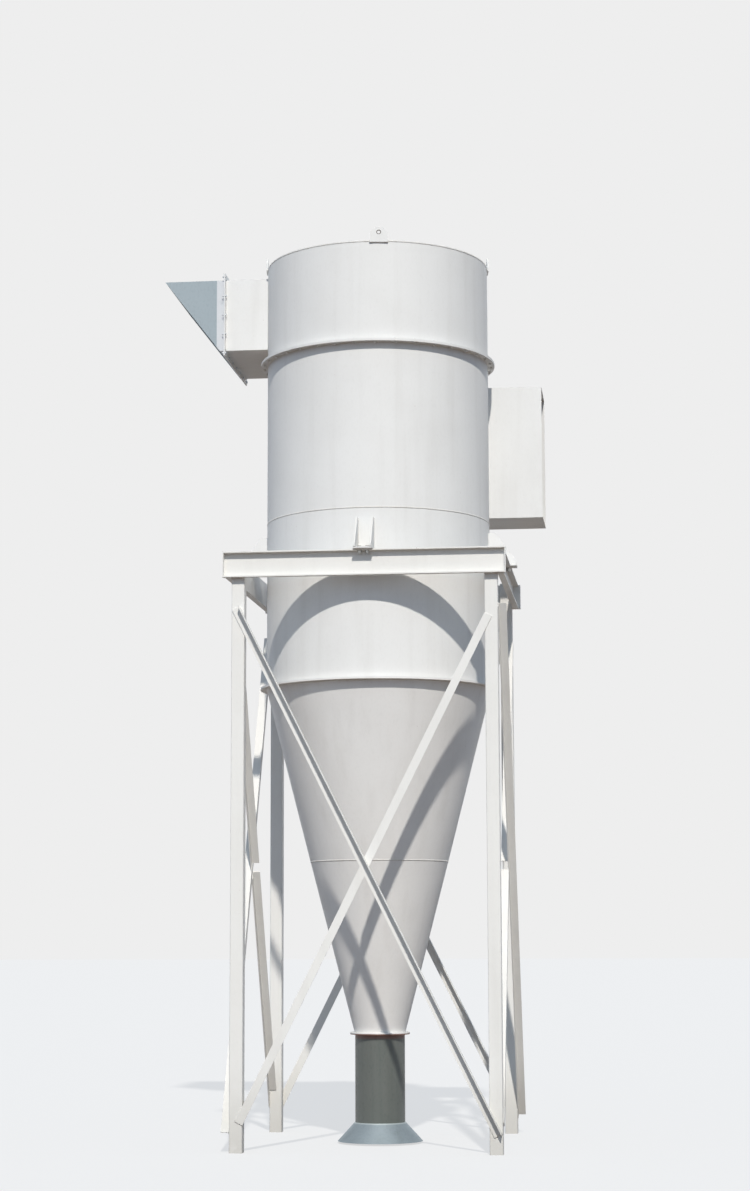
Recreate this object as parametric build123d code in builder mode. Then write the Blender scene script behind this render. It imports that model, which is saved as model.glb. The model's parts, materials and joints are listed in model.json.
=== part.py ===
"""Cyclone separator on a square braced steel stand.

Units are millimetres. The origin is on the vessel's axis, at the floor that the legs stand on,
+Z is up, the stand's sides face +X, -X, +Y and -Y, the inlet duct opens to +X and the outlet to -X.
"""
import os
from math import atan2, cos, radians, sin, sqrt

from build123d import *

os.makedirs("parts", exist_ok=True)

# Vessel, stacked up from the floor
shell_thickness = 6
barrel_diameter = 1800
skirt_floor_gap = 15
skirt_height = 145
pipe_length = 691
cone_lower_length = 1333
cone_upper_length = 1369
barrel_lower_length = 1324
barrel_upper_length = 1320
drum_height = 812
roof_thickness = 8
cone_seam_diameter = 1096
cone_base_diameter = 402

# Rings
flange_width = 55
flange_thickness = 10
base_flange_width = 50
base_flange_thickness = 8
cone_flange_width = 34
cone_flange_thickness = 8

# Vortex finder
finder_diameter = 950
finder_drop = 1300
finder_rise = 30

# Discharge pipe's skirt
pipe_diameter = 392
skirt_diameter = 668
skirt_thickness = 4
skirt_lap = 6

# Outlet duct and its rain hood, on the -X side
outlet_width = 1015
outlet_height = 595
outlet_below_rim = 67
outlet_length = 350
duct_thickness = 6
outlet_flange_width = 48
outlet_flange_thickness = 6
hood_collar_length = 44
hood_reach = 503
hood_thickness = 3

# Inlet duct, on the +X side
inlet_width = 560
inlet_height = 1095
inlet_below_joint = 120
inlet_length = 420

# Lifting lugs on the drum's rim
lug_width = 144
lug_rise = 103
lug_shoulder_rise = 53
lug_lap = 18
lug_thickness = 12
lug_hole_diameter = 26
lug_hole_height = 62
lug_first_angle = -83

# Stand
leg_clearance = 75
leg_width = 100
leg_wall = 6
leg_corner_chamfer = 5
beam_above_base = 969
channel_height = 200
channel_flange_width = 50
channel_web = 6
channel_flange = 11
end_plate_thickness = 8
beam_end_overhang = 16
brace_width = 63
brace_thickness = 6
brace_foot_height = 138
brace_head_gap = 238
brace_end_margin = 34
brace_split_inset = 90
brace_cope = 8

# Support brackets between the barrel and the stand's beams
bracket_height = 268
bracket_gusset_spacing = 124
bracket_gusset_thickness = 12
bracket_top_reach = 54
bracket_nose_height = 26
bracket_base_width = 150
bracket_base_thickness = 12
bracket_base_overhang = 45

# Places worked out from the sizes above
barrel_radius = barrel_diameter / 2
barrel_inner_radius = barrel_radius - shell_thickness
pipe_radius = pipe_diameter / 2
pipe_bottom = skirt_floor_gap + skirt_height - skirt_lap
pipe_top = pipe_bottom + pipe_length
cone_base_height = pipe_top + cone_flange_thickness
cone_seam_height = cone_base_height + cone_lower_length
cone_top_height = cone_seam_height + cone_upper_length
barrel_base_height = cone_top_height + 2 * base_flange_thickness
barrel_seam_height = barrel_base_height + barrel_lower_length
flange_joint_height = barrel_seam_height + barrel_upper_length
drum_top_height = flange_joint_height + drum_height
beam_top_height = barrel_base_height + beam_above_base
beam_bottom_height = beam_top_height - channel_height
outlet_top_height = drum_top_height - outlet_below_rim
outlet_bottom_height = outlet_top_height - outlet_height
outlet_front = barrel_radius - outlet_width
outlet_reach = barrel_radius + outlet_length
inlet_top_height = flange_joint_height - inlet_below_joint
inlet_bottom_height = inlet_top_height - inlet_height
inlet_front = barrel_radius - inlet_width
inlet_reach = barrel_radius + inlet_length
leg_centre = barrel_radius + leg_clearance
web_face = leg_centre + leg_width / 2
frame_face = web_face + channel_flange_width
cut_overrun = 20
quarter_turns = {"front": 0, "right": 90, "back": 180, "left": 270}

# A duct's back wall runs along the round shell's side: the opening starts where the wall's inner
# face leaves the shell, and the wall itself goes on until two thirds of it would be inside
tangent_x = sqrt(barrel_radius**2 - (barrel_radius - duct_thickness) ** 2)
tangent_stop = sqrt(barrel_radius**2 - (barrel_radius - duct_thickness / 3) ** 2)


def save(part, name):
    """Label a finished piece and write it."""
    part.label = name
    export_step(part, f"parts/{name}.step")


def tube(outer_radius, wall, bottom, top):
    """A round shell between two heights."""
    with BuildPart() as shell:
        with BuildSketch(Plane.XY.offset(bottom)):
            Circle(outer_radius)
            Circle(outer_radius - wall, mode=Mode.SUBTRACT)
        extrude(amount=top - bottom)
    return shell.part


def ring(outer_radius, inner_radius, bottom, thickness):
    """A flat round ring."""
    with BuildPart() as plate:
        with BuildSketch(Plane.XY.offset(bottom)):
            Circle(outer_radius)
            Circle(inner_radius, mode=Mode.SUBTRACT)
        extrude(amount=thickness)
    return plate.part


def cone_solid(bottom_radius, bottom, top_radius, top):
    """A solid cone cut off at two heights."""
    with BuildPart() as solid:
        for height, radius in ((bottom, bottom_radius), (top, top_radius)):
            with BuildSketch(Plane.XY.offset(height)):
                Circle(radius)
        loft()
    return solid.part


def cone_shell(bottom_radius, bottom, top_radius, top):
    """A conical shell of the vessel's plate thickness."""
    with BuildPart() as shell:
        add(cone_solid(bottom_radius, bottom, top_radius, top))
        inside = cone_solid(bottom_radius - shell_thickness, bottom, top_radius - shell_thickness, top)
        add(inside, mode=Mode.SUBTRACT)
    return shell.part


def block(x0, x1, y0, y1, z0, z1):
    """A plain block between two corners."""
    with BuildPart() as solid:
        with BuildSketch(Plane.XY.offset(z0)):
            with BuildLine():
                Polyline((x0, y0), (x1, y0), (x1, y1), (x0, y1), close=True)
            make_face()
        extrude(amount=z1 - z0)
    return solid.part


def duct(front, bottom, top, near, far):
    """A rectangular duct that runs along X from the round shell to its mouth."""
    side = 1 if far > near else -1
    width = barrel_radius - front
    height = top - bottom
    start = Plane(
        origin=(near, (front + barrel_radius) / 2, (bottom + top) / 2), x_dir=(0, 1, 0), z_dir=(side, 0, 0)
    )
    with BuildPart() as box:
        with BuildSketch(start):
            Rectangle(width, height)
            Rectangle(width - 2 * duct_thickness, height - 2 * duct_thickness, mode=Mode.SUBTRACT)
        extrude(amount=abs(far - near))
        with BuildSketch(Plane.XY.offset(bottom - cut_overrun)):
            Circle(barrel_radius)
        extrude(amount=height + 2 * cut_overrun, mode=Mode.SUBTRACT)
    return box.part


def duct_passage(front, bottom, top, near, far):
    """The clear space inside a duct, which also cuts the opening in the round shell."""
    return block(
        min(near, far),
        max(near, far),
        front + duct_thickness,
        barrel_radius - duct_thickness,
        bottom + duct_thickness,
        top - duct_thickness,
    )


outlet_passage = duct_passage(
    outlet_front, outlet_bottom_height, outlet_top_height, -tangent_x, -barrel_radius - cut_overrun
)
inlet_passage = duct_passage(
    inlet_front, inlet_bottom_height, inlet_top_height, tangent_x, barrel_radius + cut_overrun
)


def outlet_flange_plate(outer_x):
    """The flat rectangular flange round the outlet duct's mouth, with its outer face at one X."""
    middle = ((outlet_front + barrel_radius) / 2, (outlet_bottom_height + outlet_top_height) / 2)
    with BuildPart() as plate:
        with BuildSketch(Plane(origin=(outer_x, *middle), x_dir=(0, 1, 0), z_dir=(1, 0, 0))):
            Rectangle(outlet_width + 2 * outlet_flange_width, outlet_height + 2 * outlet_flange_width)
            Rectangle(outlet_width, outlet_height, mode=Mode.SUBTRACT)
        extrude(amount=outlet_flange_thickness)
    return plate.part


# Drum at the top, with the opening to the outlet duct
with BuildPart() as drum_shell:
    add(tube(barrel_radius, shell_thickness, flange_joint_height, drum_top_height - roof_thickness))
    add(outlet_passage, mode=Mode.SUBTRACT)
save(drum_shell.part, "drum_shell")

# Flat roof plate on the drum
with BuildPart() as drum_roof:
    with BuildSketch(Plane.XY.offset(drum_top_height - roof_thickness)):
        Circle(barrel_radius)
    extrude(amount=roof_thickness)
save(drum_roof.part, "drum_roof")

# Bolted pair of rings between the drum and the barrel
for name, bottom in (
    ("drum_flange", flange_joint_height),
    ("barrel_flange", flange_joint_height - flange_thickness),
):
    save(ring(barrel_radius + flange_width, barrel_radius, bottom, flange_thickness), name)

# Roof of the barrel, an annular plate that carries the vortex finder
finder_radius = finder_diameter / 2
roof_plate = ring(barrel_inner_radius, finder_radius, flange_joint_height - roof_thickness, roof_thickness)
save(roof_plate, "barrel_roof")

# Vortex finder, the tube that hangs down into the barrel
finder_bottom = flange_joint_height - finder_drop
save(tube(finder_radius, shell_thickness, finder_bottom, flange_joint_height + finder_rise), "vortex_finder")

# Barrel, two courses of plate that meet at a weld, with the inlet opening
for name, bottom, top in (
    ("barrel_upper", barrel_seam_height, flange_joint_height),
    ("barrel_lower", barrel_base_height, barrel_seam_height),
):
    with BuildPart() as course:
        add(tube(barrel_radius, shell_thickness, bottom, top))
        if inlet_bottom_height < top:
            add(inlet_passage, mode=Mode.SUBTRACT)
    save(course.part, name)

# Bolted pair of rings between the barrel and the cone
for name, bottom in (
    ("barrel_base_ring", cone_top_height + base_flange_thickness),
    ("cone_top_ring", cone_top_height),
):
    save(ring(barrel_radius + base_flange_width, barrel_inner_radius, bottom, base_flange_thickness), name)

# Cone, two courses of plate
cone_seam_radius = cone_seam_diameter / 2
cone_base_radius = cone_base_diameter / 2
save(cone_shell(cone_seam_radius, cone_seam_height, barrel_radius, cone_top_height), "cone_upper")
save(cone_shell(cone_base_radius, cone_base_height, cone_seam_radius, cone_seam_height), "cone_lower")

# Bolted pair of rings at the cone's foot, the lower one round the discharge pipe
cone_flange_outer = cone_base_radius + cone_flange_width
for name, bottom, inner in (
    ("cone_flange", pipe_top, cone_base_radius - shell_thickness),
    ("pipe_flange", pipe_top - cone_flange_thickness, pipe_radius),
):
    save(ring(cone_flange_outer, inner, bottom, cone_flange_thickness), name)

# Discharge pipe and the flared skirt round its lower end
save(tube(pipe_radius, shell_thickness, pipe_bottom, pipe_top), "discharge_pipe")
skirt_top = skirt_floor_gap + skirt_height
skirt_radius = skirt_diameter / 2
with BuildPart() as discharge_skirt:
    add(cone_solid(skirt_radius, skirt_floor_gap, pipe_radius + skirt_thickness, skirt_top))
    inside = cone_solid(skirt_radius - skirt_thickness, skirt_floor_gap, pipe_radius, pipe_bottom)
    add(inside, mode=Mode.SUBTRACT)
    with BuildSketch(Plane.XY.offset(pipe_bottom)):
        Circle(pipe_radius)
    extrude(amount=skirt_lap, mode=Mode.SUBTRACT)
save(discharge_skirt.part, "discharge_skirt")

# Outlet duct and its flange
outlet_duct = duct(outlet_front, outlet_bottom_height, outlet_top_height, -tangent_stop, -outlet_reach)
save(outlet_duct, "outlet_duct")
save(outlet_flange_plate(-outlet_reach), "outlet_flange")

# Rain hood: a flange, a short collar, a flat top and two cheeks cut to a slant, open below
hood_collar_end = -outlet_reach - hood_collar_length
hood_tip = -outlet_reach - hood_reach
with BuildPart() as outlet_hood:
    with BuildSketch(Plane.XZ.offset(-outlet_front)):
        with BuildLine():
            Polyline(
                (-outlet_reach, outlet_bottom_height),
                (hood_collar_end, outlet_bottom_height),
                (hood_tip, outlet_top_height),
                (-outlet_reach, outlet_top_height),
                close=True,
            )
        make_face()
    extrude(amount=-outlet_width)
    add(
        block(
            hood_tip - cut_overrun,
            cut_overrun - outlet_reach,
            outlet_front + hood_thickness,
            barrel_radius - hood_thickness,
            outlet_bottom_height - cut_overrun,
            outlet_top_height - hood_thickness,
        ),
        mode=Mode.SUBTRACT,
    )
    add(
        block(
            hood_collar_end,
            -outlet_reach,
            outlet_front,
            barrel_radius,
            outlet_bottom_height,
            outlet_bottom_height + hood_thickness,
        )
    )
    add(outlet_flange_plate(-outlet_reach - outlet_flange_thickness))
save(outlet_hood.part, "outlet_hood")

# Inlet duct
save(duct(inlet_front, inlet_bottom_height, inlet_top_height, tangent_stop, inlet_reach), "inlet_duct")

# Four lifting lugs, flat plates against the outside of the drum's rim
for index, side in enumerate(quarter_turns):
    angle = radians(lug_first_angle + 90 * index)
    outward = (cos(angle), sin(angle), 0)
    rim_point = (barrel_radius * cos(angle), barrel_radius * sin(angle), drum_top_height)
    with BuildPart() as lug:
        with BuildSketch(Plane(origin=rim_point, x_dir=(-sin(angle), cos(angle), 0), z_dir=outward)):
            with BuildLine():
                left = Line((-lug_width / 2, lug_shoulder_rise), (-lug_width / 2, -lug_lap))
                foot = Line(left @ 1, (lug_width / 2, -lug_lap))
                right = Line(foot @ 1, (lug_width / 2, lug_shoulder_rise))
                ThreePointArc(right @ 1, (0, lug_rise), left @ 0)
            make_face()
            with Locations((0, lug_hole_height)):
                Circle(lug_hole_diameter / 2, mode=Mode.SUBTRACT)
        extrude(amount=lug_thickness)
    save(lug.part, f"lifting_lug_{side}")

# Support brackets, one on each side of the barrel
bracket_bottom = beam_top_height
bracket_reach = frame_face + bracket_base_overhang
for side, turn in quarter_turns.items():
    with BuildPart() as bracket:
        for offset in (-bracket_gusset_spacing / 2, bracket_gusset_spacing / 2):
            cheek = Plane(
                origin=(offset + bracket_gusset_thickness / 2, 0, bracket_bottom),
                x_dir=(0, -1, 0),
                z_dir=(-1, 0, 0),
            )
            with BuildSketch(cheek):
                with BuildLine():
                    Polyline(
                        (barrel_radius - cut_overrun, bracket_base_thickness),
                        (bracket_reach, bracket_base_thickness),
                        (bracket_reach, bracket_base_thickness + bracket_nose_height),
                        (barrel_radius + bracket_top_reach, bracket_height),
                        (barrel_radius - cut_overrun, bracket_height),
                        close=True,
                    )
                make_face()
            extrude(amount=bracket_gusset_thickness)
        with BuildSketch(Plane.XY.offset(bracket_bottom)):
            with BuildLine():
                half = bracket_base_width / 2
                Polyline(
                    (-half, -bracket_reach),
                    (half, -bracket_reach),
                    (half, cut_overrun - barrel_radius),
                    (-half, cut_overrun - barrel_radius),
                    close=True,
                )
            make_face()
        extrude(amount=bracket_base_thickness)
        with BuildSketch(Plane.XY.offset(bracket_bottom - cut_overrun)):
            Circle(barrel_radius)
        extrude(amount=bracket_height + 2 * cut_overrun, mode=Mode.SUBTRACT)
    save(bracket.part.rotate(Axis.Z, turn), f"bracket_{side}")

# Beams of the top frame, channels with their flanges outward and plates across the long ones' ends
for side, turn in quarter_turns.items():
    full = side in ("front", "back")
    half_length = frame_face + beam_end_overhang if full else web_face
    end_plane = Plane(origin=(half_length, 0, beam_bottom_height), x_dir=(0, -1, 0), z_dir=(-1, 0, 0))
    with BuildPart() as beam:
        with BuildSketch(end_plane):
            with BuildLine():
                Polyline(
                    (web_face, 0),
                    (frame_face, 0),
                    (frame_face, channel_flange),
                    (web_face + channel_web, channel_flange),
                    (web_face + channel_web, channel_height - channel_flange),
                    (frame_face, channel_height - channel_flange),
                    (frame_face, channel_height),
                    (web_face, channel_height),
                    close=True,
                )
            make_face()
        extrude(amount=2 * half_length)
        if full:
            for plane, direction in ((end_plane, 1), (end_plane.offset(2 * half_length), -1)):
                with BuildSketch(plane):
                    with BuildLine():
                        Polyline(
                            (web_face, 0),
                            (frame_face, 0),
                            (frame_face, channel_height),
                            (web_face, channel_height),
                            close=True,
                        )
                    make_face()
                extrude(amount=direction * end_plate_thickness)
    save(beam.part.rotate(Axis.Z, turn), f"beam_{side}")

# Legs, square hollow sections that stand inside the frame's corners and are capped at the top
corners = {
    "front_left": (-leg_centre, -leg_centre),
    "front_right": (leg_centre, -leg_centre),
    "back_right": (leg_centre, leg_centre),
    "back_left": (-leg_centre, leg_centre),
}
for name, (x, y) in corners.items():
    with BuildPart() as leg:
        with BuildSketch(Plane(origin=(x, y, 0))):
            outline = Rectangle(leg_width, leg_width)
            chamfer(outline.vertices(), leg_corner_chamfer)
        extrude(amount=beam_top_height)
        with BuildSketch(Plane(origin=(x, y, 0))):
            Rectangle(leg_width - 2 * leg_wall, leg_width - 2 * leg_wall)
        extrude(amount=beam_top_height - leg_wall, mode=Mode.SUBTRACT)
    save(leg.part, f"leg_{name}")

# Braces: on each side a whole angle on the legs' outer faces, falling to the right as seen from
# outside, and a second one in two lengths that meet it, with its outstanding flange inward
brace_half_run = web_face - brace_end_margin
brace_head_height = beam_bottom_height - brace_head_gap
brace_centre_height = (brace_head_height + brace_foot_height) / 2
brace_angle = atan2(brace_head_height - brace_foot_height, 2 * brace_half_run)
brace_half_length = brace_half_run / cos(brace_angle)
face_origin = (0, -web_face, brace_centre_height)
falling = Plane(origin=face_origin, x_dir=(cos(brace_angle), 0, -sin(brace_angle)), z_dir=(0, -1, 0))
rising = Plane(origin=face_origin, x_dir=(cos(brace_angle), 0, sin(brace_angle)), z_dir=(0, -1, 0))


def angle_bar(plane, half_length, outstand):
    """An angle section with one flange flat on the plane and the other along its upper edge."""
    with BuildPart() as bar:
        with BuildSketch(plane):
            Rectangle(2 * half_length, brace_width)
        extrude(amount=brace_thickness)
        with BuildSketch(plane):
            with Locations((0, brace_width / 2 - brace_thickness / 2)):
                Rectangle(2 * half_length, brace_thickness)
        extrude(amount=outstand)
    return bar.part


for side, turn in quarter_turns.items():
    whole = angle_bar(falling, brace_half_length, brace_width)
    save(whole.rotate(Axis.Z, turn), f"brace_whole_{side}")
    with BuildPart() as split_brace:
        add(angle_bar(rising, brace_half_length - brace_split_inset, -(brace_width - brace_thickness)))
        with BuildSketch(falling.offset(-brace_width)):
            Rectangle(2 * brace_half_length, brace_width)
        extrude(amount=2 * brace_width, mode=Mode.SUBTRACT)
        for corner in (-leg_centre, leg_centre):
            with BuildSketch(Plane(origin=(corner, -leg_centre, 0))):
                Rectangle(leg_width + 2 * brace_cope, leg_width)
            extrude(amount=beam_top_height, mode=Mode.SUBTRACT)
    save(split_brace.part.rotate(Axis.Z, turn), f"brace_split_{side}")
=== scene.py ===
"""The looks of the cyclone separator: paint, welds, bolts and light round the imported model, in metres."""
import json
import random
from math import acos, atan2, cos, pi, radians, sin, sqrt, tan

import bpy
from mathutils import Matrix, Vector


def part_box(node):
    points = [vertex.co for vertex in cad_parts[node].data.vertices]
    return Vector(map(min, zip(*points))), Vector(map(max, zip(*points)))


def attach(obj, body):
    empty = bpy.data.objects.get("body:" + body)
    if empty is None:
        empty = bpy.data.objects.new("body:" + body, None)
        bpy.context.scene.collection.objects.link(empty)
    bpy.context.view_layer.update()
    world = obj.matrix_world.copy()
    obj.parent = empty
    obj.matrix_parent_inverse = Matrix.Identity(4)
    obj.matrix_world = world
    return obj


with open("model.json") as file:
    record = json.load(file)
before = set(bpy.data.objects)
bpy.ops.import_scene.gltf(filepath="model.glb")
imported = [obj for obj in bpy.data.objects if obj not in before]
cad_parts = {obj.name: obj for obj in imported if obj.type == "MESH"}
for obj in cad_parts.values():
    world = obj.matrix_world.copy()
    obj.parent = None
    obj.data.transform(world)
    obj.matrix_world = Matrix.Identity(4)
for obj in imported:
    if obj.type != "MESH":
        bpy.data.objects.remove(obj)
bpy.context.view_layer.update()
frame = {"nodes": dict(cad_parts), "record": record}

nodes = frame["nodes"]

# Sizes taken from the frame
vessel_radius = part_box("drum_shell")[1].x
rim_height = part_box("drum_roof")[1].z
roof_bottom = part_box("drum_roof")[0].z
joint_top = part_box("drum_flange")[1].z
ring_low, ring_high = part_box("barrel_flange")
seam_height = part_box("barrel_lower")[1].z
base_low, base_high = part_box("cone_top_ring")[0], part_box("barrel_base_ring")[1]
cone_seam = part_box("cone_lower")[1]
cone_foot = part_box("cone_lower")[0].z
pipe_ring_low, cone_ring_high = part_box("pipe_flange")[0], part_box("cone_flange")[1]
pipe_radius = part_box("discharge_pipe")[1].x
skirt_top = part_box("discharge_skirt")[1].z
mouth_low, mouth_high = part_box("outlet_flange")
outlet_low, outlet_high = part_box("outlet_duct")
inlet_low, inlet_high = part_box("inlet_duct")
bracket_low, bracket_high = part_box("bracket_front")
beam_low, beam_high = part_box("beam_front")
leg_low, leg_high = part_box("leg_front_right")

# Sizes of the vessel that the frame doesn't give
cone_foot_radius = 0.201
duct_plate = 0.006
duct_tangent_depth = duct_plate / 3
lug_half_width = 0.072
lug_lap = 0.018
lug_first_angle = radians(-83)
lug_thickness = 0.012
lug_hole_radius = 0.013
lug_hole_height = 0.062

# Sizes of the brackets and the stand that the frame doesn't give
gusset_place = 0.062
gusset_thickness = 0.012
bracket_half_width = 0.075
base_plate = 0.012
channel_flange = 0.011
brace_half_width = 0.0315
brace_end_margin = 0.034
brace_head_gap = 0.238
brace_foot_height = 0.138
brace_split_inset = 0.090

# Bolts, each size measured across the hexagon's flats
joint_bolt_size = 0.019
joint_bolt_count = 36
joint_bolt_turn = radians(5)
joint_bolt_shift = 0.001
mouth_bolt_size = 0.016
mouth_bolts_across, mouth_bolts_up = 7, 5
bracket_bolt_size = 0.030
bracket_bolt_spread = 0.030
bracket_bolt_shift = -0.003

# Weld beads, and the dark rims of painted shade round the lug holes, each a width and a rise
seam = (0.012, 0.0022)
fillet = (0.009, 0.0045)
pipe_fillet = (0.014, 0.006)
hole_rim_shade_size = (0.006, 0.0006)
hole_rim_shade_points = 24
bead_step = 0.012
bead_swell = 0.14
shortest_bead = 0.01

up = Vector((0, 0, 1))
quarter_turn = pi / 2


# Camera: the viewpoint fitted to the photograph, 750 by 1191
frame_height = 1191
focal_pixels = 2402.4
sensor_height = 36.0
camera_place = Vector((2.134, -19.112, 1.603))
camera_turn = radians(6.458)
camera_pitch = radians(8.065)
camera_roll = radians(-0.176)
camera_reach = 400

camera_data = bpy.data.cameras.new("camera")
camera_data.sensor_fit = "VERTICAL"
camera_data.sensor_height = sensor_height
camera_data.lens = focal_pixels * sensor_height / frame_height
camera_data.clip_end = camera_reach
camera = bpy.data.objects.new("camera", camera_data)
bpy.context.scene.collection.objects.link(camera)
camera.matrix_world = (
    Matrix.Translation(camera_place)
    @ Matrix.Rotation(camera_turn, 4, "Z")
    @ Matrix.Rotation(pi / 2 + camera_pitch, 4, "X")
    @ Matrix.Rotation(camera_roll, 4, "Z")
)
bpy.context.scene.camera = camera
bpy.context.scene.view_settings.view_transform = "Standard"


# Light: a key from just right of the camera, three soft fills and a pale sky.
# Each lamp has a strength, a width, a colour, a turn from the front and a height, the angles in degrees.
backdrop_grey = 0.855
sky_strength = 0.42
sky_colour = (0.68, 0.9, 1.18)
lamps = {
    "key": (3.08, 1.6, (1.0, 0.955, 0.885), 9.9, 44.7),
    "front fill": (0.27, 60, (0.85, 0.96, 1.1), -5, 16),
    "side fill": (0.2, 100, (0.87, 0.95, 1.06), -70, 20),
    "back fill": (0.42, 60, (0.95, 0.97, 1.0), 180, 16),
}

for name, (strength, width, colour, turn, height) in lamps.items():
    lamp_data = bpy.data.lights.new(name, "SUN")
    lamp_data.energy = strength
    lamp_data.angle = radians(width)
    lamp_data.color = colour
    lamp = bpy.data.objects.new(name, lamp_data)
    bpy.context.scene.collection.objects.link(lamp)
    lamp.matrix_world = Matrix.Rotation(radians(turn), 4, "Z") @ Matrix.Rotation(pi / 2 - radians(height), 4, "X")


def maths(tree, operation, first, second):
    """A field worked out from a field and another field or a number."""
    node = tree.nodes.new("ShaderNodeMath")
    node.operation = operation
    tree.links.new(first, node.inputs[0])
    if isinstance(second, (int, float)):
        node.inputs[1].default_value = second
    else:
        tree.links.new(second, node.inputs[1])
    return node.outputs[0]


def seen_rays(tree):
    """1 for the rays that show the background itself: camera, glossy and transmitted ones."""
    rays = tree.nodes.new("ShaderNodeLightPath").outputs
    seen = maths(tree, "MAXIMUM", rays["Is Camera Ray"], rays["Is Glossy Ray"])
    return maths(tree, "MAXIMUM", seen, rays["Is Transmission Ray"])


world = bpy.data.worlds.new("sky")
bpy.context.scene.world = world
world.use_nodes = True
tree = world.node_tree
tree.nodes.clear()
backdrop = tree.nodes.new("ShaderNodeBackground")
backdrop.inputs["Color"].default_value = (backdrop_grey, backdrop_grey, backdrop_grey, 1)
sky = tree.nodes.new("ShaderNodeBackground")
sky.inputs["Color"].default_value = (*sky_colour, 1)
sky.inputs["Strength"].default_value = sky_strength
mix = tree.nodes.new("ShaderNodeMixShader")
output = tree.nodes.new("ShaderNodeOutputWorld")
tree.links.new(seen_rays(tree), mix.inputs[0])
tree.links.new(sky.outputs[0], mix.inputs[1])
tree.links.new(backdrop.outputs[0], mix.inputs[2])
tree.links.new(mix.outputs[0], output.inputs["Surface"])


# Floor: pale to the camera, a duller ground to the light that bounces from it
floor_half = 150
floor_grey = 0.8
floor_glow_share = 0.72
ground_colour = (0.135, 0.09, 0.058)

floor_mesh = bpy.data.meshes.new("floor")
floor_corners = [(x * floor_half, y * floor_half, 0) for x, y in ((-1, -1), (1, -1), (1, 1), (-1, 1))]
floor_mesh.from_pydata(floor_corners, [], [(0, 1, 2, 3)])
floor = bpy.data.objects.new("floor", floor_mesh)
bpy.context.scene.collection.objects.link(floor)
floor_paint = bpy.data.materials.new("floor")
floor_paint.use_nodes = True
tree = floor_paint.node_tree
tree.nodes.clear()
ground = tree.nodes.new("ShaderNodeBsdfDiffuse")
ground.inputs["Color"].default_value = (*ground_colour, 1)
shown = tree.nodes.new("ShaderNodeBsdfDiffuse")
shown.inputs["Color"].default_value = (floor_grey, floor_grey, floor_grey, 1)
glow = tree.nodes.new("ShaderNodeEmission")
glow.inputs["Color"].default_value = (backdrop_grey, backdrop_grey, backdrop_grey, 1)
soften = tree.nodes.new("ShaderNodeMixShader")
soften.inputs[0].default_value = floor_glow_share
choose = tree.nodes.new("ShaderNodeMixShader")
output = tree.nodes.new("ShaderNodeOutputMaterial")
tree.links.new(shown.outputs[0], soften.inputs[1])
tree.links.new(glow.outputs[0], soften.inputs[2])
tree.links.new(seen_rays(tree), choose.inputs[0])
tree.links.new(ground.outputs[0], choose.inputs[1])
tree.links.new(soften.outputs[0], choose.inputs[2])
tree.links.new(choose.outputs[0], output.inputs["Surface"])
floor_mesh.materials.append(floor_paint)


# Materials. Each field of wear, and the field of the extra coat and painted highlight, has a scale, detail, stretch
# and shift, and the values where it starts and is full.
wear_fields = {
    "patches": (1.6, 4, (1, 1, 1), (0, 0, 0), 0.35, 0.75),
    "streaks": (9, 5, (1, 1, 0.055), (3, 7, 1), 0.48, 0.78),
    "grime": (60, 4, (1, 1, 0.5), (9, 2, 5), 0.45, 0.8),
    "specks": (48, 5, (1, 1, 0.7), (1, 8, 4), 0.72, 0.8),
    "settled": (3, 6, (1, 1, 1), (2, 6, 3), -0.3, 0.75),
    "coat_and_highlight": (7, 5, (1, 1, 1), (0, 0, 0), 0.15, 0.45),
}
patch_share, streak_share, grime_share = 0.28, 0.34, 0.16
settle_start, settle_full = 0.2, 0.9
smoother, rougher = 0.06, 0.16
skin_scale, skin_detail, skin_strength, skin_depth = 220, 3, 0.12, 0.002
dent_scale, dent_detail, dent_depth = 2.4, 1, 0.012

dust = (0.47, 0.44, 0.39)
rust_brown = (0.23, 0.10, 0.045)
paint_dirt = (0.5, 0.48, 0.45)


def noise(tree, coords, scale, detail, stretch=(1, 1, 1), shift=(0, 0, 0)):
    """A noise field in object space, stretched along the axes."""
    mapping = tree.nodes.new("ShaderNodeMapping")
    mapping.inputs["Scale"].default_value = stretch
    mapping.inputs["Location"].default_value = shift
    field = tree.nodes.new("ShaderNodeTexNoise")
    field.inputs["Scale"].default_value = scale
    field.inputs["Detail"].default_value = detail
    tree.links.new(coords, mapping.inputs["Vector"])
    tree.links.new(mapping.outputs["Vector"], field.inputs["Vector"])
    return field.outputs["Fac"]


def ramp(tree, value, low, high):
    """The value spread so that low gives 0 and high gives 1."""
    spread = tree.nodes.new("ShaderNodeMapRange")
    spread.interpolation_type = "SMOOTHSTEP"
    spread.inputs["From Min"].default_value = low
    spread.inputs["From Max"].default_value = high
    tree.links.new(value, spread.inputs["Value"])
    return spread.outputs["Result"]


def worn(tree, coords, kind):
    """One of the fields of wear."""
    scale, detail, stretch, shift, start, full = wear_fields[kind]
    return ramp(tree, noise(tree, coords, scale, detail, stretch, shift), start, full)


def times(tree, first, second):
    """The product of a field with a field or a number."""
    return maths(tree, "MULTIPLY", first, second)


def blend_colour(tree, share, base, tint):
    """Base colour towards the tint by the share. Each colour is a socket or numbers."""
    mixer = tree.nodes.new("ShaderNodeMix")
    mixer.data_type = "RGBA"
    tree.links.new(share, mixer.inputs["Factor"])
    for value, socket in ((base, mixer.inputs["A"]), (tint, mixer.inputs["B"])):
        if isinstance(value, tuple):
            socket.default_value = (*value, 1)
        else:
            tree.links.new(value, socket)
    return mixer.outputs["Result"]


def along(tree, vector, axis, low, high):
    """A vector's share on an axis, spread so that low gives 0 and high gives 1."""
    split = tree.nodes.new("ShaderNodeSeparateXYZ")
    tree.links.new(vector, split.inputs[0])
    return ramp(tree, split.outputs[axis], low, high)


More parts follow.
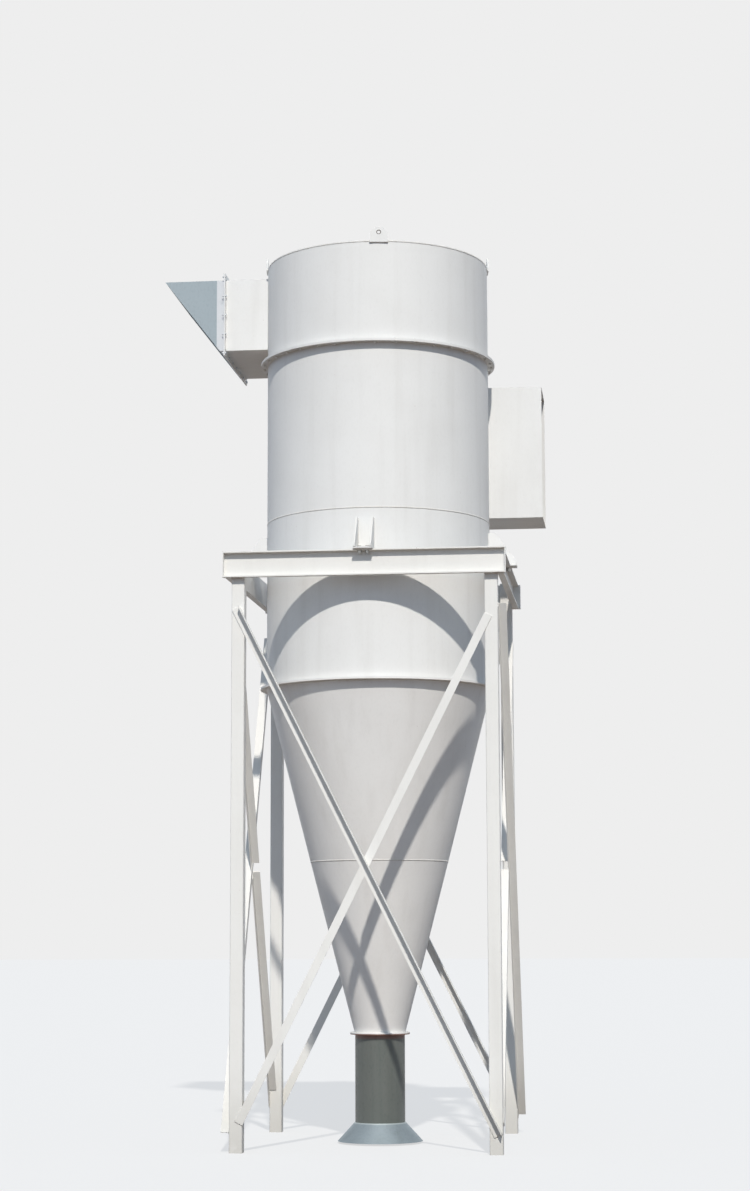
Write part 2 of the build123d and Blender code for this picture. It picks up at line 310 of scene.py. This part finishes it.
def bump(tree, field, strength, depth, below=None):
    """A bump normal from a field, on top of another one where that is given."""
    node = tree.nodes.new("ShaderNodeBump")
    node.inputs["Strength"].default_value = strength
    node.inputs["Distance"].default_value = depth
    tree.links.new(field, node.inputs["Height"])
    if below is not None:
        tree.links.new(below, node.inputs["Normal"])
    return node.outputs["Normal"]


def weathered(
    name,
    base,
    dirt=paint_dirt,
    rust=rust_brown,
    metallic=0.0,
    rough=0.42,
    gloss=0.5,
    dirt_share=0.5,
    rust_share=0.5,
    dust_share=0.6,
    wave=0.25,
    extra=None,
):
    """Paint or sheet, out of doors for some years.

    It is mottled, streaked downwards and specked with rust, and dust has settled on what faces up. Extra is one
    more layer, a coat, and on the skirt a painted highlight: an axis, where it starts and is full, its colour and
    its share.
    """
    material = bpy.data.materials.new(name)
    material.use_nodes = True
    tree = material.node_tree
    shader = tree.nodes["Principled BSDF"]
    coords = tree.nodes.new("ShaderNodeTexCoord").outputs["Object"]
    normal = tree.nodes.new("ShaderNodeNewGeometry").outputs["Normal"]
    grime = worn(tree, coords, "grime")
    settled = times(tree, along(tree, normal, "Z", settle_start, settle_full), worn(tree, coords, "settled"))
    layers = [
        (worn(tree, coords, "patches"), dirt_share * patch_share, dirt),
        (worn(tree, coords, "streaks"), dirt_share * streak_share, dirt),
        (grime, dirt_share * grime_share, dirt),
        (worn(tree, coords, "specks"), rust_share, rust),
        (settled, dust_share, dust),
    ]
    if extra:
        axis, start, full, coat_and_highlight, coat_and_highlight_share = extra
        reach = times(tree, along(tree, coords, axis, start, full), worn(tree, coords, "coat_and_highlight"))
        layers.append((reach, coat_and_highlight_share, coat_and_highlight))
    colour = base
    for field, share, tint in layers:
        colour = blend_colour(tree, times(tree, field, share), colour, tint)
    tree.links.new(colour, shader.inputs["Base Color"])
    shader.inputs["Specular IOR Level"].default_value = gloss
    shader.inputs["Metallic"].default_value = metallic
    finish = tree.nodes.new("ShaderNodeMapRange")
    finish.inputs["To Min"].default_value = rough - smoother * (1 - metallic)
    finish.inputs["To Max"].default_value = rough + rougher * (1 - metallic)
    tree.links.new(grime, finish.inputs["Value"])
    tree.links.new(finish.outputs["Result"], shader.inputs["Roughness"])
    grain = skin_strength * max(0, 1 - 2 * metallic)
    skin = bump(tree, noise(tree, coords, skin_scale, skin_detail), grain, skin_depth)
    dents = bump(tree, noise(tree, coords, dent_scale, dent_detail), wave, dent_depth, skin)
    tree.links.new(dents, shader.inputs["Normal"])
    return material


# White paint of the vessel and of the stand. The cone's paint is lighter: painted light that makes up for the sun
# falling less on its downward-facing slope.
vessel_look = {"rough": 0.56, "dirt_share": 0.4, "rust_share": 0.25, "gloss": 0.25}
vessel_paint = weathered("vessel_paint", (0.815, 0.815, 0.805), **vessel_look)
cone_painted_light = weathered("cone_painted_light", (0.875, 0.865, 0.85), **vessel_look)
weld_paint = weathered("weld_paint", (0.78, 0.77, 0.74), (0.42, 0.4, 0.36), dirt_share=0.8, rust_share=0.4)
stand_paint = weathered(
    "stand_paint",
    (0.84, 0.835, 0.81),
    rough=0.56,
    dirt_share=0.33,
    rust_share=0.45,
    gloss=0.25,
    extra=("Z", 0.7, 0.0, (0.4, 0.38, 0.33), 0.4),
)

# Dull galvanised sheet of the rain hood, paler in a strip next to the flange
pale_strip_start = mouth_low.x - 0.069
pale_strip_edge = 0.002
galvanised = weathered(
    "galvanised",
    (0.3, 0.355, 0.39),
    (0.22, 0.26, 0.29),
    (0.4, 0.4, 0.38),
    metallic=0.3,
    rough=0.58,
    wave=0.4,
    extra=("X", pale_strip_start - pale_strip_edge, pale_strip_start, (0.56, 0.58, 0.61), 1.0),
)

# Grey paint of the pipe, with a band of primer under its ring
primer_end, primer_full = 0.04, 0.018
grey_paint = weathered(
    "grey_paint",
    (0.13, 0.14, 0.13),
    (0.045, 0.07, 0.06),
    rough=0.45,
    dirt_share=1.3,
    extra=("Z", pipe_ring_low.z - primer_end, pipe_ring_low.z - primer_full, (0.2, 0.1, 0.075), 0.85),
)

# Blue-grey skirt with a soft shine, and a painted highlight along its top edge
highlight_end, highlight_full = 0.012, 0.004
skirt_paint = weathered(
    "skirt_paint",
    (0.29, 0.345, 0.385),
    (0.13, 0.16, 0.17),
    metallic=0.8,
    rough=0.6,
    dirt_share=1.0,
    dust_share=0.0,
    wave=0.1,
    # The painted highlight: paler along the skirt's top edge
    extra=("Z", skirt_top - highlight_end, skirt_top - highlight_full, (0.5, 0.56, 0.57), 0.7),
)

# Small pieces
bolt_steel = weathered("bolt_steel", (0.5, 0.5, 0.48), (0.3, 0.27, 0.23), metallic=0.6, rust_share=0.7)
# Dark colour of the rims round the lug holes: painted shade
hole_rim_shade = weathered("hole_rim_shade", (0.09, 0.07, 0.06), (0.06, 0.05, 0.045), rough=0.65)
primer = weathered("primer", (0.26, 0.13, 0.09), (0.2, 0.15, 0.12), rough=0.6)

slot_materials = {
    "vessel_paint": vessel_paint,
    "stand_paint": stand_paint,
    "galvanised_sheet": galvanised,
    "grey_paint": grey_paint,
    "skirt_metal": skirt_paint,
}
for entry in frame["record"]["subparts"]:
    target = nodes[entry["node"]]
    target.data.materials.clear()
    # The cone's nodes take the lighter paint, painted light for the sun their slope misses
    finish = cone_painted_light if entry["node"].startswith("cone_") else slot_materials[entry["material_slot"]]
    target.data.materials.append(finish)


# Shapes: bolts and weld beads as real meshes. A shape is a list of points and a list of faces.
chance = random.Random(11)

# Bolt profiles: the radius and height of each step, as shares of the width across the flats
corner = 1 / sqrt(3)
washer_profile = ((0.62, 0), (0.62, 0.1))
head_profile = ((corner, 0), (corner, 0.36), (0.88 * corner, 0.42))
nut_profile = ((0.9 * corner, 0), (corner, 0.05), (corner, 0.46), (0.9 * corner, 0.52))
shank_profile = ((0.33, 0), (0.33, 0.2), (0.27, 0.24))
washer_sides, hexagon_sides, shank_sides, bead_sides = 16, 6, 10, 6


def placed(origin, axis):
    """A matrix at the origin whose Z runs along the axis."""
    z_axis = Vector(axis)
    hint = Vector((1, 0, 0)) if axis[2] else up
    y_axis = z_axis.cross(hint)
    x_axis = y_axis.cross(z_axis)
    return Matrix.Translation(origin) @ Matrix((x_axis, y_axis, z_axis)).transposed().to_4x4()


def stack(profile, size, sides, turn=0.0):
    """A closed solid through level regular polygons, the profile's steps times the size."""
    points = []
    for radius, height in profile:
        for index in range(sides):
            angle = turn + 2 * pi * index / sides
            points.append(Vector((radius * size * cos(angle), radius * size * sin(angle), height * size)))
    faces = [tuple(reversed(range(sides))), tuple(range(len(points) - sides, len(points)))]
    for level in range(len(profile) - 1):
        for index in range(sides):
            low, following = level * sides, (index + 1) % sides
            faces.append((low + index, low + following, low + sides + following, low + sides + index))
    return points, faces


def moved(shape, matrix):
    """The shape set in its place."""
    return [matrix @ point for point in shape[0]], shape[1]


def fastener(matrix, across, grip):
    """A hexagon bolt through plates that lie from the matrix's origin down to minus the grip.

    The first two shapes are the washer and the head, and the last three the washer, the nut and the bolt's end.
    """
    washer = stack(washer_profile, across, washer_sides)
    head = stack(head_profile, across, hexagon_sides, chance.uniform(0, pi))
    nut = stack(nut_profile, across, hexagon_sides, chance.uniform(0, pi))
    shank = stack(shank_profile, across, shank_sides)
    on_washer = Matrix.Translation(up * across * washer_profile[-1][1])
    on_nut = Matrix.Translation(up * across * nut_profile[-1][1])
    below = matrix @ Matrix.Translation(-up * grip) @ Matrix.Rotation(pi, 4, "X")
    return [
        moved(washer, matrix),
        moved(head, matrix @ on_washer),
        moved(washer, below),
        moved(nut, below @ on_washer),
        moved(shank, below @ on_washer @ on_nut),
    ]


def bead(path, outward, weld, closed=False):
    """A weld bead along points, also the dark rim of painted shade round a lug hole. Outward gives the direction
    away from the metal at each point.
    """
    width, rise = weld
    count = len(path)
    points, faces = [], []
    for index in range(count):
        if closed:
            run = path[(index + 1) % count] - path[index - 1]
        else:
            run = path[min(index + 1, count - 1)] - path[max(index - 1, 0)]
        away = outward[index].normalized()
        side = run.cross(away).normalized()
        swell = 1 + chance.uniform(-bead_swell, bead_swell)
        for step in range(bead_sides):
            angle = 2 * pi * (step + 0.5) / bead_sides
            offset = side * (width / 2 * cos(angle)) + away * (rise * sin(angle))
            points.append(path[index] + offset * swell)
    for index in range(count if closed else count - 1):
        here, following = index * bead_sides, (index + 1) % count * bead_sides
        for step in range(bead_sides):
            after = (step + 1) % bead_sides
            faces.append((here + step, here + after, following + after, following + step))
    if not closed:
        faces.append(tuple(reversed(range(bead_sides))))
        faces.append(tuple(range((count - 1) * bead_sides, count * bead_sides)))
    return points, faces


def straight_bead(start, end, away, weld=fillet):
    """A bead from point to point."""
    count = max(2, round((end - start).length / bead_step) + 1)
    path = [start.lerp(end, index / (count - 1)) for index in range(count)]
    return bead(path, [away] * count, weld)


def round_bead(radius, height, weld, lean=0.0, start=None, end=None):
    """A bead round the vessel's axis, or between two angles. Lean tips it up from straight outward."""
    closed = start is None
    first, last = (0.0, 2 * pi) if closed else (start, end)
    count = max(6, round(abs(last - first) * radius / bead_step))
    angles = [first + (last - first) * index / (count if closed else count - 1) for index in range(count)]
    path = [Vector((radius * cos(angle), radius * sin(angle), height)) for angle in angles]
    outward = [Vector((cos(angle), sin(angle), lean)) for angle in angles]
    return bead(path, outward, weld, closed)


def heading(angle):
    """The level direction at an angle round the vessel's axis."""
    return Vector((cos(angle), sin(angle), 0))


def make_piece(name, shapes, finish, smooth=False):
    """One scene piece out of many shapes, riding on the whole."""
    points, faces = [], []
    for shape_points, shape_faces in shapes:
        base = len(points)
        points.extend(shape_points)
        faces.extend(tuple(base + index for index in face) for face in shape_faces)
    mesh = bpy.data.meshes.new(name)
    mesh.from_pydata([tuple(point) for point in points], [], faces)
    mesh.materials.append(finish)
    if smooth:
        mesh.polygons.foreach_set("use_smooth", [True] * len(mesh.polygons))
    obj = bpy.data.objects.new(name, mesh)
    bpy.context.scene.collection.objects.link(obj)
    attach(obj, "root")


# Bolts of the upper pair of rings, their heads painted over
joint_grip = joint_top - ring_low.z
joint_radius = (vessel_radius + ring_high.x) / 2 + joint_bolt_shift
heads, nuts = [], []
for index in range(joint_bolt_count):
    spot = heading(joint_bolt_turn + 2 * pi * index / joint_bolt_count) * joint_radius + up * joint_top
    shapes = fastener(placed(spot, (0, 0, 1)), joint_bolt_size, joint_grip)
    heads += shapes[:2]
    nuts += shapes[2:]
make_piece("joint_bolt_heads", heads, vessel_paint)
make_piece("joint_nuts", nuts, weld_paint)

# Bolts round the outlet's rectangular flange
mouth_edge = (mouth_high.z - outlet_high.z) / 2
mouth_y = [mouth_low.y + mouth_edge, mouth_high.y - mouth_edge]
mouth_z = [mouth_low.z + mouth_edge, mouth_high.z - mouth_edge]
mouth_grip = 2 * duct_plate
mouth_spots = []
for index in range(mouth_bolts_across):
    y = mouth_y[0] + (mouth_y[1] - mouth_y[0]) * index / (mouth_bolts_across - 1)
    mouth_spots += [(y, z) for z in mouth_z]
for index in range(1, mouth_bolts_up - 1):
    z = mouth_z[0] + (mouth_z[1] - mouth_z[0]) * index / (mouth_bolts_up - 1)
    mouth_spots += [(y, z) for y in mouth_y]
shapes = []
for y, z in mouth_spots:
    shapes += fastener(placed(Vector((mouth_high.x, y, z)), (1, 0, 0)), mouth_bolt_size, mouth_grip)
make_piece("outlet_flange_bolts", shapes, galvanised)

# Bolts through the brackets' base plates and the beams' top flanges
bracket_plate_top = bracket_low.z + base_plate
bracket_grip = base_plate + channel_flange
bracket_bolt_y = (beam_high.y + beam_low.y) / 2 + bracket_bolt_shift
shapes = []
for quarter in range(4):
    turn = Matrix.Rotation(quarter * quarter_turn, 4, "Z")
    for x in (-bracket_bolt_spread, bracket_bolt_spread):
        spot = placed(Vector((x, bracket_bolt_y, bracket_plate_top)), (0, 0, 1))
        shapes += fastener(turn @ spot, bracket_bolt_size, bracket_grip)
make_piece("bracket_bolts", shapes, bolt_steel)

# Welds of the vessel: round it, and then the seams up its plates, each between two radii and heights
cone_lean = -0.25
shapes = [
    round_bead(vessel_radius, seam_height, seam),
    round_bead(cone_seam.x, cone_seam.z, seam, cone_lean),
    round_bead(vessel_radius, roof_bottom, seam),
    round_bead(vessel_radius, joint_top, fillet, 1),
    round_bead(vessel_radius, ring_low.z, fillet, -1),
    round_bead(vessel_radius, base_high.z, fillet, 1),
    round_bead(vessel_radius, base_low.z, fillet, -1),
    round_bead(cone_foot_radius, cone_ring_high.z, fillet, 1),
]
for degrees, low, high in (
    (75, (vessel_radius, joint_top), (vessel_radius, rim_height)),
    (105, (vessel_radius, seam_height), (vessel_radius, ring_low.z)),
    (150, (vessel_radius, base_high.z), (vessel_radius, seam_height)),
    (95, (vessel_radius, base_low.z), (cone_seam.x, cone_seam.z)),
    (140, (cone_seam.x, cone_seam.z), (cone_foot_radius, cone_foot)),
):
    outward = heading(radians(degrees))
    start, end = (outward * radius + up * height for radius, height in (low, high))
    shapes.append(straight_bead(start, end, outward, seam))
make_piece("vessel_welds", shapes, weld_paint, smooth=True)

# Primer that shows at the weld under the pipe's ring
shapes = [round_bead(pipe_radius, pipe_ring_low.z, pipe_fillet, -1)]
make_piece("pipe_weld", shapes, primer, smooth=True)

# Welds of the ducts where they meet the round shells
far_wall_x = sqrt(vessel_radius**2 - (vessel_radius - duct_tangent_depth) ** 2)


def duct_weld(low, high, side):
    """Beads round a duct's joint with the shell: along its bottom and top, up the near wall and up the far wall."""
    near_angle = acos(side * sqrt(vessel_radius**2 - low.y**2) / vessel_radius)
    if low.y < 0:
        near_angle = 2 * pi - near_angle
    far_angle = acos(side * far_wall_x / vessel_radius)
    shapes = [
        round_bead(vessel_radius, height, fillet, lean, near_angle, far_angle)
        for height, lean in ((low.z, -1), (high.z, 1))
    ]
    near, far = heading(near_angle) * vessel_radius, heading(far_angle) * vessel_radius
    shapes.append(straight_bead(near + up * low.z, near + up * high.z, Vector((side, -1, 0))))
    shapes.append(straight_bead(far + up * low.z, far + up * high.z, Vector((0, 1, 0)), seam))
    return shapes


shapes = duct_weld(outlet_low, outlet_high, -1) + duct_weld(inlet_low, inlet_high, 1)
# The outlet duct's joint with its flange
flange_x = outlet_low.x + duct_plate
bottom_near, bottom_far, top_near, top_far = (
    Vector((flange_x, y, z)) for z in (outlet_low.z, outlet_high.z) for y in (outlet_low.y, outlet_high.y)
)
for start, end, away in (
    (bottom_near, bottom_far, (1, 0, -1)),
    (top_near, top_far, (1, 0, 1)),
    (bottom_near, top_near, (1, -1, 0)),
    (bottom_far, top_far, (1, 1, 0)),
):
    shapes.append(straight_bead(start, end, Vector(away)))
make_piece("duct_welds", shapes, weld_paint, smooth=True)

# Welds of the lifting lugs and the brackets
lug_angles = [lug_first_angle + index * quarter_turn for index in range(4)]
shapes = []
for angle in lug_angles:
    outward, side = heading(angle), heading(angle + quarter_turn)
    centre = outward * vessel_radius + up * rim_height
    lap = up * lug_lap
    for sign in (-1, 1):
        edge = centre + side * sign * lug_half_width
        shapes.append(straight_bead(edge - lap, edge, side * sign + outward))
    left, right = centre - side * lug_half_width, centre + side * lug_half_width
    shapes.append(straight_bead(left - lap, right - lap, outward - up))
    shapes.append(straight_bead(left, right, up - outward))
for quarter in range(4):
    turn = Matrix.Rotation(quarter * quarter_turn, 3, "Z")
    for x in (-gusset_place, gusset_place):
        for sign in (-1, 1):
            face = x + sign * gusset_thickness / 2
            shell = -sqrt(vessel_radius**2 - face**2)
            foot = Vector((face, shell, bracket_plate_top))
            head = Vector((face, shell, bracket_high.z))
            reach = Vector((face, bracket_low.y, bracket_plate_top))
            shapes.append(straight_bead(turn @ foot, turn @ head, turn @ Vector((sign, -1, 0))))
            shapes.append(straight_bead(turn @ foot, turn @ reach, turn @ Vector((sign, 0, 1))))
    start, end = (Vector((sign * bracket_half_width, -vessel_radius, bracket_low.z)) for sign in (-1, 1))
    shapes.append(straight_bead(turn @ start, turn @ end, turn @ Vector((0, -1, -1))))
make_piece("bracket_and_lug_welds", shapes, weld_paint, smooth=True)

# Welds of the stand, side by side, each worked out for the front and turned into place
leg_inner, leg_outer = leg_low.x, leg_high.x
beam_bottom, beam_top = beam_low.z, beam_high.z
brace_head = beam_bottom - brace_head_gap
brace_half_run = leg_outer - brace_end_margin
brace_angle = atan2(brace_head - brace_foot_height, 2 * brace_half_run)
brace_half_length = brace_half_run / cos(brace_angle)
brace_centre = Vector((0, -leg_outer, (brace_head + brace_foot_height) / 2))
joint_half = brace_half_width / sin(2 * brace_angle)
joint_shift = brace_half_width / tan(2 * brace_angle)
front = Vector((0, -1, 0))


def brace_frame(falling):
    """The directions along and across a brace."""
    slope = -1 if falling else 1
    run = Vector((cos(brace_angle), 0, slope * sin(brace_angle)))
    return run, Vector((-run.z, 0, run.x))


shapes = []
for quarter in range(4):
    turn = Matrix.Rotation(quarter * quarter_turn, 3, "Z")
    # The beam on its legs: a bead up each inner edge, and one under the beam
    for sign in (-1, 1):
        bottom_inner = Vector((sign * leg_inner, -leg_outer, beam_bottom))
        top_inner = Vector((sign * leg_inner, -leg_outer, beam_top))
        bottom_outer = Vector((sign * leg_outer, -leg_outer, beam_bottom))
        shapes.append(straight_bead(turn @ bottom_inner, turn @ top_inner, turn @ Vector((-sign, 1, 0))))
        shapes.append(straight_bead(turn @ bottom_inner, turn @ bottom_outer, turn @ (front - up)))
    # The braces on the legs: a bead round each end
    for falling, inset in ((True, 0.0), (False, brace_split_inset)):
        run, across = brace_frame(falling)
        for sign in (-1, 1):
            tip = brace_centre + run * sign * (brace_half_length - inset)
            corners = [tip + across * side * brace_half_width for side in (-1, 1)]
            starts = []
            for tip_corner in corners:
                back = max(0.0, (abs(tip_corner.x) - leg_inner) / cos(brace_angle))
                starts.append(tip_corner - run * sign * back)
            for start, end, away in (
                (starts[0], corners[0], -across),
                (corners[0], corners[1], run * sign),
                (corners[1], starts[1], across),
            ):
                if (end - start).length > shortest_bead:
                    shapes.append(straight_bead(turn @ start, turn @ end, turn @ (away + front)))
    # The split brace on the whole one: a bead along both of its edges
    run, across = brace_frame(True)
    for side in (-1, 1):
        middle = brace_centre + across * side * brace_half_width + run * side * joint_shift
        start, end = middle - run * joint_half, middle + run * joint_half
        shapes.append(straight_bead(turn @ start, turn @ end, turn @ (across * side + front)))
make_piece("stand_welds", shapes, stand_paint, smooth=True)

# Dark rims round the lifting lugs' holes: painted shade that makes each hole read dark
hole_rim_shade_radius = lug_hole_radius + hole_rim_shade_size[0] / 2
shapes = []
for angle in lug_angles:
    outward, side = heading(angle), heading(angle + quarter_turn)
    for radius, away in ((vessel_radius, -outward), (vessel_radius + lug_thickness, outward)):
        centre = outward * radius + up * (rim_height + lug_hole_height)
        turns = [2 * pi * index / hole_rim_shade_points for index in range(hole_rim_shade_points)]
        path = [centre + (side * cos(turn) + up * sin(turn)) * hole_rim_shade_radius for turn in turns]
        shapes.append(bead(path, [away] * hole_rim_shade_points, hole_rim_shade_size, closed=True))
make_piece("lug_hole_shade", shapes, hole_rim_shade, smooth=True)
